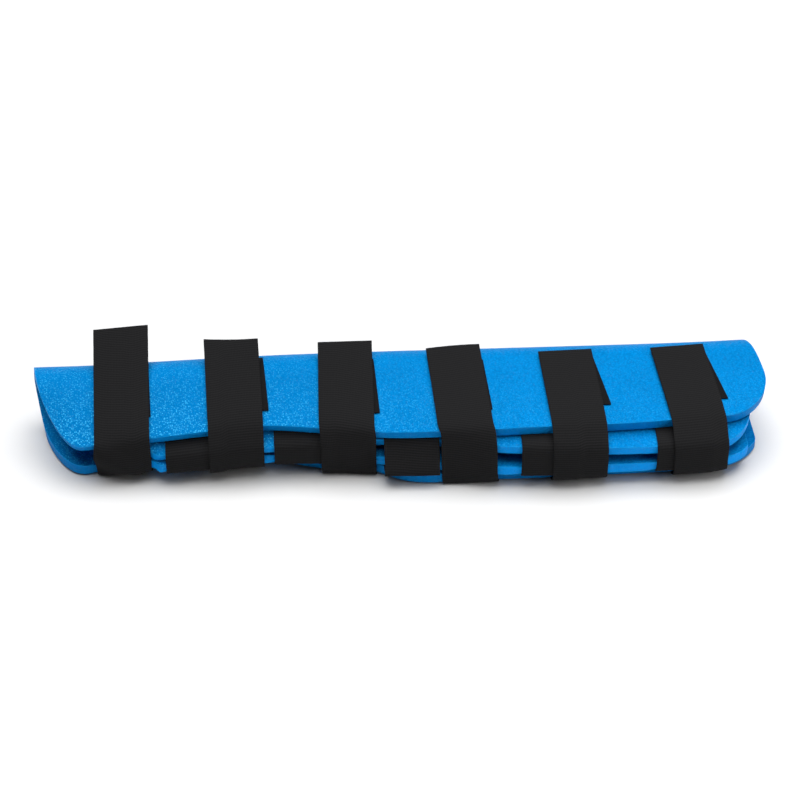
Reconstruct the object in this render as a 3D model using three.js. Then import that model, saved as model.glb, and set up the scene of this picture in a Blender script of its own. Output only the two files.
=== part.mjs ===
// A fracture splint, folded and strapped: two sheets of closed-cell foam, each folded once lengthwise,
// one nested in the other, with six straps round the outer sheet and five round the inner one. Each strap is
// fixed under a lower leaf and comes round the open front; the outer ones close on hook pads on the upper leaf.
// Millimetres. X runs along the splint, the folds are at the back (+Y), the open edges face the front (-Y),
// and the splint lies on the plane Z = 0. While it is built, Y = 0 is the plane behind the outer fold.
import * as THREE from 'three';

// Driving sizes.
const LENGTH = 675;
const END = LENGTH / 2;
const FOAM_THICKNESS = 10;
const STRAP_WIDTH = 50;
const STRAP_THICKNESS = 1.6;
const PAD_LENGTH = 60;
// Clearance between a strap and what it lies on, and the room between the sheets for the inner straps.
const LAY = 0.6;
const NEST_ROOM = 2.8;
// What a strap adds to that clearance round its own sheet's front edges, and an outer one round the inner edges.
const FRONT_EASE = { own: 0.3, inner: 1.2 };
// How far in front of its hook pad an outer strap has risen over it.
const PAD_RISE = 3;
// The outer sheet lies on the straps that pass under it.
const SHEET_BOTTOM = STRAP_THICKNESS + LAY + FRONT_EASE.own;
// How far a sheet's outer face lies inside the outer sheet's outer face.
const INNER_DEPTH = FOAM_THICKNESS + NEST_ROOM;

// Divisions of the faceted walls.
const FOLD_STEPS = 10;
const PAD_ARC_STEPS = 3;
const LEAF_STEPS = 4;
const CORNER_STEPS = 5;
const STATION_SPACING = 26;
const FRONT_TURNS = 12;
// How closely a strap's turns gather where it faces the front, from 0 for evenly to 1.
const FRONT_GATHER = 0.6;
const STRAP_WIDTH_STEPS = 5;

// Sections of the bundle along X: the outer fold's radius, and the slope of the upper leaves in degrees.
const FOLD_SECTIONS = [
  { x: -END, radius: 38.0, slope: 34.0 },
  { x: -284, radius: 37.6, slope: 32.0 },
  { x: -226, radius: 38.4, slope: 26.0 },
  { x: -126, radius: 39.6, slope: 25.0 },
  { x: -24, radius: 39.2, slope: 19.5 },
  { x: 97, radius: 37.8, slope: 10.5 },
  { x: 190, radius: 36.8, slope: 10.5 },
  { x: 273, radius: 36.2, slope: 10.5 },
  { x: END, radius: 36.6, slope: 10.5 },
];

// Front edges of the outer sheet: the upper leaf's length from the fold, and the lower leaf's depth from the
// back plane. A flared end, a waist and a bulge follow each other from left to right.
const OUTER_EDGES = [
  { x: -END, upper: 52.5, lower: 91 },
  { x: -284, upper: 53, lower: 91 },
  { x: -226, upper: 54, lower: 89 },
  { x: -176, upper: 51, lower: 84 },
  { x: -126, upper: 48.5, lower: 83 },
  { x: -75, upper: 56, lower: 97.5 },
  { x: -24, upper: 66.5, lower: 108 },
  { x: 4, upper: 71, lower: 122 },
  { x: 36, upper: 75, lower: 125.5 },
  { x: 97, upper: 82, lower: 125.2 },
  { x: 190, upper: 81, lower: 125.4 },
  { x: 273, upper: 77.5, lower: 124 },
  { x: END, upper: 74.5, lower: 122 },
];

// Front edges of the inner sheet, measured the same way from its own fold and from the same back plane.
const INNER_EDGES = [
  { x: -252, upper: 65, lower: 108 },
  { x: -221, upper: 66.5, lower: 110.5 },
  { x: -121, upper: 65, lower: 103 },
  { x: -21, upper: 67, lower: 112 },
  { x: 20, upper: 72.5, lower: 121 },
  { x: 96, upper: 93, lower: 135 },
  { x: 196, upper: 99, lower: 138 },
  { x: 260, upper: 98.5, lower: 137 },
  { x: 321, upper: 96, lower: 134 },
];

// Rounded right corners: how far one reaches along X, and the share of the leaf's length left at the very end.
const OUTER_CORNERS = { upper: { reach: 44, keep: 0.36 }, lower: { reach: 56, keep: 0.34 } };
const INNER_CORNERS = { upper: { reach: 38, keep: 0.5 }, lower: { reach: 36, keep: 0.7 } };

// The left end sweeps back from the fold to the front edges in part of a superellipse, and on the right the fold
// is cut back from the leaves and the lower leaf from the upper one. All are eased out over a reach along X.
// Places across a sheet are counted from -2 at the lower front edge over -1 and 1 at the fold's ends to 2 at the
// upper front edge.
const SWEEP = { from: 0.05, upper: 1.6, lower: 1.7 };
const RIGHT_CUT = { to: 1.6, reach: 60 };

const OUTER_SHEET = {
  edges: OUTER_EDGES,
  corners: OUTER_CORNERS,
  depth: 0,
  sweep: { depth: 44, reach: 130 },
  foldCut: 13,
  lowerCut: 8,
};
const INNER_SHEET = {
  edges: INNER_EDGES,
  corners: INNER_CORNERS,
  depth: INNER_DEPTH,
  sweep: { depth: 26, reach: 90 },
  foldCut: 5,
  lowerCut: 4,
};

// Outer straps: the middle of the hook pad at its lower and upper ends, and how far behind the front edge it
// starts; the middle of the strap at the lower front edge, at the upper front edge and at its free end; how far
// the free end runs past the start of the fold, and how much further its right corner reaches than its left one.
const OUTER_STRAPS = [
  { padLow: -253, padHigh: -254.5, tuck: 21, low: -254.5, front: -254.5, end: -254, free: 59.5, skew: 1 },
  { padLow: -146, padHigh: -149.5, tuck: 15, low: -152, front: -151.5, end: -153.2, free: 40.5, skew: -2 },
  { padLow: -45.5, padHigh: -48, tuck: 15, low: -48.5, front: -51.5, end: -48.5, free: 31.5, skew: 1 },
  { padLow: 56.5, padHigh: 53, tuck: 19.5, low: 62.5, front: 55.7, end: 51, free: 19.3, skew: 4.5 },
  { padLow: 165, padHigh: 155.3, tuck: 23, low: 159.6, front: 158.1, end: 154.8, free: 7.5, skew: 1.5 },
  { padLow: 273, padHigh: 260.5, tuck: 20.5, low: 271, front: 267.5, end: 259.7, free: 8.5, skew: 2.5 },
];

// Inner straps: the middle of each, and how far its left and right sides hang forward of the lower leaf.
const INNER_STRAPS = [
  { middle: -191, slack: { left: 0, right: 0 } },
  { middle: -92.5, slack: { left: 0, right: 0 } },
  { middle: 7, slack: { left: 14, right: 6 } },
  { middle: 130.5, slack: { left: 0, right: 0 } },
  { middle: 253.5, slack: { left: 0, right: 0 } },
];

const FOAM_MATERIAL = new THREE.MeshStandardMaterial({ color: 0x0a86dc, roughness: 0.55, metalness: 0 });
const STRAP_MATERIAL = new THREE.MeshStandardMaterial({ color: 0x242425, roughness: 0.9, metalness: 0 });

const lerp = THREE.MathUtils.lerp;
const clamp = THREE.MathUtils.clamp;

/** Smooth value of one column of a table at x, by a cubic through its rows. */
function columnAt(rows, column, x) {
  const last = rows.length - 1;
  const row = clamp(rows.findIndex((next) => next.x > x), 1, last) - (x >= rows[last].x ? 0 : 1);
  if (row >= last) {
    return rows[last][column];
  }
  const slopeAt = (index) => {
    const before = rows[Math.max(index - 1, 0)];
    const after = rows[Math.min(index + 1, last)];
    return (after[column] - before[column]) / (after.x - before.x);
  };
  const span = rows[row + 1].x - rows[row].x;
  const t = clamp((x - rows[row].x) / span, 0, 1);
  const ease = t * t * (3 - 2 * t);
  const leave = t * (1 - t) ** 2 * span * slopeAt(row);
  const arrive = t * t * (1 - t) * span * slopeAt(row + 1);
  return lerp(rows[row][column], rows[row + 1][column], ease) + leave - arrive;
}

/** Share of a leaf's length that its rounded corner leaves, at a distance from the sheet's end. */
function cornerShare(corner, fromEnd) {
  const short = 1 - clamp(fromEnd / corner.reach, 0, 1);
  return corner.keep + (1 - corner.keep) * Math.sqrt(1 - short ** 2);
}

/** The sheet's section at x: its fold's centre and radius, its slope, and the length of each leaf. */
function sectionAt(sheet, x) {
  const last = sheet.edges[sheet.edges.length - 1].x;
  const leaf = (side, length) => length * cornerShare(sheet.corners[side], last - x);
  const radius = columnAt(FOLD_SECTIONS, 'radius', x);
  return {
    centre: new THREE.Vector2(-radius, SHEET_BOTTOM + radius),
    radius: radius - sheet.depth,
    slope: THREE.MathUtils.degToRad(columnAt(FOLD_SECTIONS, 'slope', x)),
    upper: leaf('upper', columnAt(sheet.edges, 'upper', x)),
    lower: leaf('lower', columnAt(sheet.edges, 'lower', x) - radius),
  };
}

/** Point in the YZ plane at an angle round the section's fold, at a height above the outer face. */
function onFold(section, angle, height) {
  const reach = section.radius + height;
  return new THREE.Vector2(Math.cos(angle), Math.sin(angle)).multiplyScalar(reach).add(section.centre);
}

/** Point over the upper leaf, at a distance from the fold towards the front edge. */
function onUpperLeaf(section, distance, height) {
  const along = new THREE.Vector2(-Math.cos(section.slope), -Math.sin(section.slope));
  return onFold(section, Math.PI / 2 + section.slope, height).addScaledVector(along, distance);
}

/** Point under the lower leaf, at a distance from the fold towards the front edge. */
function onLowerLeaf(section, distance, height) {
  return onFold(section, -Math.PI / 2, height).add(new THREE.Vector2(-distance, 0));
}

/** Point over the fold and the upper leaf, at a distance along the face from the start of the leaf. */
function onUpperFace(section, distance, height) {
  if (distance > 0) {
    return onUpperLeaf(section, distance, height);
  }
  return onFold(section, Math.PI / 2 + section.slope + distance / section.radius, height);
}

/** Places across a sheet from the lower front edge round the fold to the upper front edge. */
function placesAcross() {
  const places = [];
  const leafShare = (step) => Math.sin((Math.PI / 2) * (step / LEAF_STEPS));
  for (let step = LEAF_STEPS; step > 0; step -= 1) {
    const share = leafShare(step);
    const point = (section, height) => onLowerLeaf(section, section.lower * share, height);
    places.push({ turn: -1 - share, point });
  }
  for (let step = 0; step <= FOLD_STEPS; step += 1) {
    const share = step / FOLD_STEPS;
    const angle = (section) => lerp(-Math.PI / 2, Math.PI / 2 + section.slope, share);
    places.push({ turn: 2 * share - 1, point: (section, height) => onFold(section, angle(section), height) });
  }
  for (let step = 1; step <= LEAF_STEPS; step += 1) {
    const share = leafShare(step);
    const point = (section, height) => onUpperLeaf(section, section.upper * share, height);
    places.push({ turn: 1 + share, point });
  }
  return places;
}

/** Stations along a sheet, close together round its right corners. */
function stationsAlong(sheet) {
  const first = sheet.edges[0].x;
  const last = sheet.edges[sheet.edges.length - 1].x;
  const reach = Math.max(sheet.corners.upper.reach, sheet.corners.lower.reach);
  const stations = [];
  const plain = last - reach - first;
  const plainSteps = Math.round(plain / STATION_SPACING);
  for (let step = 0; step <= plainSteps; step += 1) {
    stations.push(first + (plain * step) / plainSteps);
  }
  for (let step = CORNER_STEPS - 1; step >= 0; step -= 1) {
    stations.push(last - reach * (1 - Math.cos((Math.PI / 2) * (step / CORNER_STEPS))));
  }
  return stations;
}

/** The other coordinate of the sweep's superellipse, which is its own inverse. */
function sweepCurve(share, power) {
  return (1 - clamp(share, 0, 1) ** power) ** (1 / power);
}

/** How far a place across the sheet is moved along X by the shape of the sheet's ends. */
function endShift(sheet, turn, fromLeft, fromRight) {
  const away = Math.abs(turn);
  const power = turn > 0 ? SWEEP.upper : SWEEP.lower;
  const sweep = sheet.sweep.depth * (1 - sweepCurve((away - SWEEP.from) / (2 - SWEEP.from), power));
  const foldCut = sheet.foldCut * Math.cos((Math.PI / 2) * Math.min(away / RIGHT_CUT.to, 1)) ** 2;
  const lowerCut = sheet.lowerCut * clamp(-turn, 0, 1);
  const sweepEase = clamp(1 - fromLeft / sheet.sweep.reach, 0, 1);
  const cutEase = clamp(1 - fromRight / RIGHT_CUT.reach, 0, 1) ** 2;
  return sweep * sweepEase - Math.max(foldCut, lowerCut) * cutEase;
}

/** Closed solid between two grids of points with shared borders. */
function slabGeometry(top, bottom) {
  const rows = top.length;
  const columns = top[0].length;
  const at = (side, row, column) => (side * rows + row) * columns + column;
  const indices = [];
  const quad = (a, b, c, d) => indices.push(a, b, c, a, c, d);
  for (let row = 0; row < rows - 1; row += 1) {
    for (let column = 0; column < columns - 1; column += 1) {
      quad(at(0, row, column), at(0, row, column + 1), at(0, row + 1, column + 1), at(0, row + 1, column));
      quad(at(1, row, column), at(1, row + 1, column), at(1, row + 1, column + 1), at(1, row, column + 1));
    }
    const edge = columns - 1;
    quad(at(0, row, 0), at(0, row + 1, 0), at(1, row + 1, 0), at(1, row, 0));
    quad(at(0, row, edge), at(1, row, edge), at(1, row + 1, edge), at(0, row + 1, edge));
  }
  for (let column = 0; column < columns - 1; column += 1) {
    const end = rows - 1;
    quad(at(0, 0, column), at(1, 0, column), at(1, 0, column + 1), at(0, 0, column + 1));
    quad(at(0, end, column), at(0, end, column + 1), at(1, end, column + 1), at(1, end, column));
  }
  const geometry = new THREE.BufferGeometry().setFromPoints([...top.flat(), ...bottom.flat()]);
  geometry.setIndex(indices);
  geometry.computeVertexNormals();
  return geometry;
}

/** A folded sheet of foam. */
function sheetGeometry(sheet) {
  const stations = stationsAlong(sheet);
  const first = stations[0];
  const last = stations[stations.length - 1];
  const places = placesAcross();
  const face = (height) => stations.map((station) => places.map((place) => {
    const x = station + endShift(sheet, place.turn, station - first, last - station);
    const point = place.point(sectionAt(sheet, x), height);
    return new THREE.Vector3(x, point.x, point.y);
  }));
  return slabGeometry(face(0), face(-FOAM_THICKNESS));
}

/** Share of a leaf's length that a sheet's swept end leaves at x, under nought where there is no leaf yet. */
function sweptShare(sheet, x, power) {
  const swept = sweepCurve(1 - (x - sheet.edges[0].x) / sheet.sweep.depth, power);
  return SWEEP.from + (2 - SWEEP.from) * swept - 1;
}

/** The four corners of a sheet's front edges at x, or none where its swept end has no leaf yet. */
function frontCorners(sheet, x) {
  const upper = sweptShare(sheet, x, SWEEP.upper);
  const lower = sweptShare(sheet, x, SWEEP.lower);
  if (Math.min(upper, lower) <= 0) {
    return [];
  }
  const section = sectionAt(sheet, x);
  return [0, -FOAM_THICKNESS].flatMap((height) => [
    onLowerLeaf(section, section.lower * lower, height),
    onUpperLeaf(section, section.upper * upper, height),
  ]);
}

/** Where a band drawn taut round some corners faces an angle; each corner keeps its own clearance. */
function tautPoint(corners, angle) {
  const facing = new THREE.Vector2(Math.cos(angle), Math.sin(angle));
  const reach = (corner) => corner.point.dot(facing) + corner.clear;
  const outermost = corners.reduce((best, corner) => (reach(corner) > reach(best) ? corner : best));
  return outermost.point.clone().addScaledVector(facing, outermost.clear);
}

/** Whether a strap on the inner sheet lies under x, or within one strap division to the left of it. */
function overInnerStrap(x) {
  const reach = STRAP_WIDTH / 2;
  const beside = reach + STRAP_WIDTH / STRAP_WIDTH_STEPS;
  return INNER_STRAPS.some((strap) => x > strap.middle - reach && x < strap.middle + beside);
}

/** Point of the outer band's front, over both sheets' edges and over the straps on the inner one. */
function outerFront(x, angle, height) {
  const overInner = height + (overInnerStrap(x) ? 2 * LAY + STRAP_THICKNESS : FRONT_EASE.inner);
  const overOuter = height + FRONT_EASE.own;
  return tautPoint([
    ...frontCorners(OUTER_SHEET, x).map((point) => ({ point, clear: overOuter })),
    ...frontCorners(INNER_SHEET, x).map((point) => ({ point, clear: overInner })),
  ], angle);
}

/** Point of an inner band's front, over the inner sheet's edges and a slack forward of the lower one. */
function innerFront(x, angle, height, slack) {
  const clear = height + FRONT_EASE.own;
  const corners = frontCorners(INNER_SHEET, x);
  corners[0].x -= slack;
  return tautPoint(corners.map((point) => ({ point, clear })), angle);
}

/** Angle that a band faces at a share of its way up the front, from straight down to square to the leaf. */
function frontAngle(x, share) {
  const turned = share + (FRONT_GATHER * Math.sin(2 * Math.PI * share)) / (2 * Math.PI);
  return -Math.PI / 2 - turned * (Math.PI - sectionAt(OUTER_SHEET, x).slope);
}

/** Route of a hook pad: rows that give its middle along X and its point at a height for a place across. */
function padRoute(strap) {
  const outerAt = (x) => sectionAt(OUTER_SHEET, x);
  const start = outerAt(strap.padLow).upper - strap.tuck;
  const onArc = PAD_LENGTH - start;
  const stops = [start, start / 2];
  for (let step = 0; step <= PAD_ARC_STEPS; step += 1) {
    stops.push((-onArc * step) / PAD_ARC_STEPS);
  }
  return stops.map((stop) => ({
    middle: lerp(strap.padLow, strap.padHigh, (start - stop) / PAD_LENGTH),
    point: (x, height) => onUpperFace(outerAt(x), stop, height),
  }));
}

/** Route of an outer strap, from its fixed end under the lower leaf to its free end over the hook pad. */
function outerStrapRoute(strap) {
  const outerAt = (x) => sectionAt(OUTER_SHEET, x);
  const overPad = LAY + STRAP_THICKNESS;
  const route = [{
    middle: strap.low,
    point: (x, height) => onLowerLeaf(outerAt(x), 0, height + FRONT_EASE.own),
  }];
  for (let step = 0; step <= FRONT_TURNS; step += 1) {
    const share = step / FRONT_TURNS;
    route.push({
      middle: lerp(strap.low, strap.front, share),
      point: (x, height) => outerFront(x, frontAngle(x, share), height),
    });
  }
  const length = outerAt(strap.front).upper;
  const stops = [length - strap.tuck + PAD_RISE, (length - strap.tuck) / 2, 0, -strap.free];
  stops.forEach((stop) => {
    const share = (length - stop) / (length + strap.free);
    const skewed = (across) => (stop < 0 ? stop - strap.skew * across : stop);
    const fromFold = (x, across) => skewed(across) + (stop > 0 ? outerAt(x).upper - length : 0);
    route.push({
      middle: lerp(strap.front, strap.end, share),
      point: (x, height, across) => onUpperLeaf(outerAt(x), fromFold(x, across), height + overPad),
    });
  });
  return route;
}

/** Route of an inner strap, from under the lower leaf round the front to the back of the upper leaf. */
function innerStrapRoute({ middle, slack }) {
  const innerAt = (x) => sectionAt(INNER_SHEET, x);
  const route = [{ middle, point: (x, height) => onLowerLeaf(innerAt(x), 0, height) }];
  for (let step = 0; step <= FRONT_TURNS; step += 1) {
    const share = step / FRONT_TURNS;
    const slackAt = (across) => lerp(slack.left, slack.right, across + 0.5);
    route.push({
      middle,
      point: (x, height, across) => innerFront(x, frontAngle(x, share), height, slackAt(across)),
    });
  }
  route.push({ middle, point: (x, height) => onUpperLeaf(innerAt(x), 0, height) });
  return route;
}

/** A flat strap along its route, between its lying height and its thickness above that. */
function strapGeometry(route, lay) {
  const face = (height) => route.map((row) => {
    const points = [];
    for (let step = 0; step <= STRAP_WIDTH_STEPS; step += 1) {
      const across = step / STRAP_WIDTH_STEPS - 0.5;
      const x = row.middle + across * STRAP_WIDTH;
      const point = row.point(x, height, across);
      points.push(new THREE.Vector3(x, point.x, point.y));
    }
    return points;
  });
  return slabGeometry(face(lay + STRAP_THICKNESS), face(lay));
}

/** A named piece of the splint. */
function piece(name, geometry, material) {
  const mesh = new THREE.Mesh(geometry, material.clone());
  mesh.name = name;
  return mesh;
}

const splint = new THREE.Group();
splint.add(piece('outer_shell', sheetGeometry(OUTER_SHEET), FOAM_MATERIAL));
splint.add(piece('inner_shell', sheetGeometry(INNER_SHEET), FOAM_MATERIAL));
OUTER_STRAPS.forEach((strap, index) => {
  const pad = strapGeometry(padRoute(strap), LAY);
  const geometry = strapGeometry(outerStrapRoute(strap), LAY);
  splint.add(piece(`hook_pad_${index + 1}`, pad, STRAP_MATERIAL));
  splint.add(piece(`outer_strap_${index + 1}`, geometry, STRAP_MATERIAL));
});
const innerLay = (NEST_ROOM - STRAP_THICKNESS) / 2;
INNER_STRAPS.forEach((strap, index) => {
  const geometry = strapGeometry(innerStrapRoute(strap), innerLay);
  splint.add(piece(`inner_strap_${index + 1}`, geometry, STRAP_MATERIAL));
});

// The origin is the middle of the splint's outer size, on the plane that it lies on.
const bounds = new THREE.Box3().setFromObject(splint);
const middle = bounds.getCenter(new THREE.Vector3());
splint.position.set(-middle.x, -middle.y, -bounds.min.z);

export default splint;
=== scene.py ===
"""Looks of a fracture splint, folded and strapped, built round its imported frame.

Two sheets of blue closed-cell foam are folded lengthwise, one inside the other. Black loop straps,
fixed under the lower leaves, come round the open front, and the outer ones close on hook pads on
the upper leaf. Sizes are in millimetres in the classes and in metres in the meshes. X runs along
the splint, the folds are at the back (+Y), the open edges face the front (-Y), and the splint lies
on the plane Z = 0.
"""

import logging
import math
from dataclasses import dataclass, field
from enum import Enum
from functools import partial
from typing import Any

import bmesh
import bpy
import numpy as np
from bmesh.types import BMesh
from bpy.types import Material, Node, NodeSocket, NodeTree, Object
from mathutils import Matrix, Vector
from mathutils.kdtree import KDTree

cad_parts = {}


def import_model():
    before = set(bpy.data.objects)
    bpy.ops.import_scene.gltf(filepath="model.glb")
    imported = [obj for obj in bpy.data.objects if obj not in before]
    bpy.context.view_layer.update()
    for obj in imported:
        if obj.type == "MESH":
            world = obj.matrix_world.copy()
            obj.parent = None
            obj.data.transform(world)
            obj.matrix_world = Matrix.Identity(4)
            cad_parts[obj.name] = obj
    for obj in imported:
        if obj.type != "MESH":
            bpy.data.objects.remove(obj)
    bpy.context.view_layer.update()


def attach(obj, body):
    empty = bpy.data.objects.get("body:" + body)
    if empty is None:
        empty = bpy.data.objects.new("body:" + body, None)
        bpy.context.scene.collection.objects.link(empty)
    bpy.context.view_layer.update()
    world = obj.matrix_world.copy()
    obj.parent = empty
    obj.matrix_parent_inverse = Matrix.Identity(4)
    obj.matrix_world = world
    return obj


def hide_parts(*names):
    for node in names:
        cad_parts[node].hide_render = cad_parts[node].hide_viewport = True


logging.basicConfig(level=logging.INFO, format="%(message)s")
LOG = logging.getLogger("splint")
Array = np.ndarray
Span = tuple[float, float]

MM = 0.001
BODY = "root"
# The attribute that marks knife-cut foam, with marks for a rounded rim's painted highlight and for
# the cut itself.
CUT_LAYER = "cut_edge"
RIM_MARK = 0.5
CUT_MARK = 1.0
# The tapes' own UV layer, which is in metres.
TAPE_UV = "tape"
# The plane behind the outer fold, from which depths are measured, along Y in the frame.
BACK_PLANE = 71.521
LENGTH = 675.0
END = LENGTH / 2
FOAM_THICKNESS = 10.0
TAPE_WIDTH = 50.0
TAPE_THICKNESS = 1.6
# Between a strap and what it lies on, and between a pad and the foam under it.
STRAP_LAY = 0.6
PAD_LAY = 0.35
# The room between the sheets, and a strap's room round its own sheet's edges and the inner one's.
NEST_ROOM = 2.8
OWN_EASE = 0.3
INNER_EASE = 1.2
SHEET_BOTTOM = TAPE_THICKNESS + STRAP_LAY + OWN_EASE
# The way to the front in the YZ plane.
FORWARD = np.array([-1.0, 0.0])
# Edges that turn more than this are rounded off.
SHARP = math.radians(50)
# A corner's outline passes from the right end to the front edge half way round.
CORNER_SPLIT = math.sqrt(0.5)
# A wave texture's bands repeat after this much of its scaled coordinate.
WAVE_PERIOD = 2 * math.pi / 20


class Hold(Enum):
    """How a tape is held on the splint."""

    STRETCHED = "stretched"
    LAID = "laid"


def linear(hex_colour: str) -> tuple[float, float, float, float]:
    """Turns an sRGB hex colour into linear RGBA, by the sRGB curve.

    Args:
        hex_colour: Six hex digits, with or without a leading hash.

    Returns:
        The linear colour with full alpha.
    """
    digits = hex_colour.lstrip("#")
    channels = [int(digits[at : at + 2], 16) / 255 for at in (0, 2, 4)]
    red, green, blue = (
        c / 12.92 if c <= 0.04045 else ((c + 0.055) / 1.055) ** 2.4 for c in channels
    )
    return red, green, blue, 1.0


def set_inputs(tree: NodeTree, node: Node, inputs: dict[str | int, Any]) -> None:
    """Sets or links a node's sockets.

    Args:
        tree: The node tree that holds the node.
        node: The node.
        inputs: Socket values, or output sockets to link from.
    """
    for socket, value in inputs.items():
        if isinstance(value, NodeSocket):
            tree.links.new(value, node.inputs[socket])
        else:
            node.inputs[socket].default_value = value


def add_node(
    tree: NodeTree,
    kind: str,
    settings: dict[str, Any] | None = None,
    inputs: dict[str | int, Any] | None = None,
) -> Node:
    """Adds a node with its settings, and with its sockets set or linked.

    Args:
        tree: The node tree that takes the node.
        kind: The shader node's type.
        settings: Properties of the node.
        inputs: Socket values, or output sockets to link from.

    Returns:
        The new node.
    """
    node = tree.nodes.new(f"ShaderNode{kind}")
    for name, value in (settings or {}).items():
        setattr(node, name, value)
    set_inputs(tree, node, inputs or {})
    return node


def new_material(name: str) -> tuple[Material, NodeTree, Node]:
    """Starts a material.

    Args:
        name: The real material's name.

    Returns:
        The material, its node tree and its shader.
    """
    material = bpy.data.materials.new(name)
    material.use_nodes = True
    tree = material.node_tree
    return material, tree, tree.nodes["Principled BSDF"]


def smoothstep(value: Array) -> Array:
    """Eases 0 to 1, and holds outside of that."""
    share = np.clip(value, 0, 1)
    return share * share * (3 - 2 * share)


@dataclass(frozen=True)
class FoamFinish:
    """Closed-cell polyethylene foam, skived from a block and cut with a knife.

    To the eye it is a matt, saturated blue with a fine grain, and its own colour on cut faces. Its
    colour also holds painted glints, strongest at the left end and the front, painted shade over
    the left end, and a painted highlight, a paler line along each rounded edge.
    """

    name: str = "closed-cell polyethylene foam, skived"
    # Whole cells: their middles, the face between, and the deep parts round them. The deep colour
    # is also laid over the left end as painted shade.
    bright_cell: str = "#0285CE"
    face: str = "#007DC3"
    deep_cell_and_painted_shade: str = "#006EB0"
    face_stop: float = 0.3
    deep_stop: float = 0.8
    # Painted glints, a painted highlight on a cut edge's rounded rim, and the cut's own colour.
    painted_glint: str = "#48CCFF"
    edge: str = "#0E90DA"
    cut: str = "#007DCA"
    # Real cells are about half a millimetre wide. They and the painted glints are drawn coarser, to
    # show.
    cell_size: float = 2.1
    cell_softness: float = 0.35
    facet_size: float = 1.4
    # Broad, faint changes of tone, as ranges of the noise and of the brightness.
    mottle_size: float = 34.0
    mottle_detail: float = 3.0
    mottle: Span = (0.3, 0.7)
    mottle_light: Span = (0.95, 1.04)
    # Painted glints are strongest at the left end and the front, and fewer to the right and to the
    # back. The left end's share also sets the painted shade there.
    painted_light_along: Span = (-330.0, 150.0)
    painted_light_right: float = 0.2
    glint_forward: Span = (-35.0, 25.0)
    glint_back_share: float = 0.45
    # How far the painted shade at the left end goes towards the deep colour.
    painted_shade_share: float = 0.9
    # A painted glint's rim and core in its facet, and the draws that give a facet a faint or a full
    # one.
    glint: Span = (0.6, 0.15)
    glint_draw: Span = (0.25, 1.0)
    # Marks between which the rim's painted highlight and the cut's colour come in.
    rim_highlight_marks: Span = (0.1, 0.5)
    cut_marks: Span = (0.55, 0.95)
    relief: float = 0.5
    roughness: float = 0.5
    ior: float = 1.51
    specular: float = 0.02
    # A thin gloss that each facet turns its own way.
    facet_tilt: float = 0.85
    gloss: float = 0.1
    gloss_roughness: float = 0.14

    def material(self) -> Material:
        """Makes the foam's material.

        Returns:
            The material.
        """
        material, tree, shader = new_material(self.name)
        node = partial(add_node, tree)
        where = node("TexCoord").outputs["Object"]
        place = node("SeparateXYZ", inputs={0: where})
        scale = {"Vector": where, "Scale": 1 / (self.cell_size * MM)}
        scale |= {"Smoothness": self.cell_softness}
        cells = node("TexVoronoi", {"feature": "SMOOTH_F1"}, scale).outputs["Distance"]
        scale = {"Vector": where, "Scale": 1 / (self.mottle_size * MM)}
        scale |= {"Detail": self.mottle_detail}
        mottle = node("TexNoise", inputs=scale)
        scale = {"Vector": where, "Scale": 1 / (self.facet_size * MM)}
        facets = node("TexVoronoi", {"feature": "F1"}, scale)
        draw = node("SeparateXYZ", inputs={0: facets.outputs["Color"]})
        mark = node("Attribute", {"attribute_name": CUT_LAYER}).outputs["Fac"]
        along = [at * MM for at in self.painted_light_along]
        forward = [at * MM for at in self.glint_forward]
        rising = (0.0, 1.0)
        shares = {}
        # The left and front shares place painted glints, and at the left painted shade, by where a
        # point lies on the splint.
        for name, easing, source, span, reach in (
            ("left", "SMOOTHSTEP", place.outputs["X"], along, (1.0, self.painted_light_right)),
            ("front", "SMOOTHSTEP", place.outputs["Y"], forward, (1.0, self.glint_back_share)),
            ("spot", "LINEAR", facets.outputs["Distance"], self.glint, rising),
            ("picked", "LINEAR", draw.outputs["X"], self.glint_draw, rising),
            ("rim", "LINEAR", mark, self.rim_highlight_marks, rising),
            ("cut", "LINEAR", mark, self.cut_marks, rising),
            ("light", "LINEAR", mottle.outputs["Fac"], self.mottle, self.mottle_light),
        ):
            ends = {"Value": source, 1: span[0], 2: span[1], 3: reach[0], 4: reach[1]}
            eased = node("MapRange", {"interpolation_type": easing}, ends)
            shares[name] = eased.outputs["Result"]
        multiply = {"operation": "MULTIPLY"}
        for name, first, second in (
            ("glinting", "spot", "picked"),
            ("open", "left", "front"),
            ("sparkle", "glinting", "open"),
        ):
            factors = {0: shares[first], 1: shares[second]}
            shares[name] = node("Math", multiply, factors).outputs[0]
        # Painted shade: the deep colour laid over the left end.
        ground = node("Math", multiply, {0: shares["left"], 1: self.painted_shade_share})
        grain = node("ValToRGB", inputs={"Fac": cells})
        stops = grain.color_ramp.elements
        stops[0].color = linear(self.bright_cell)
        stops[1].color = linear(self.deep_cell_and_painted_shade)
        stops[1].position = self.deep_stop
        stops.new(self.face_stop).color = linear(self.face)
        colour = grain.outputs["Color"]
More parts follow.
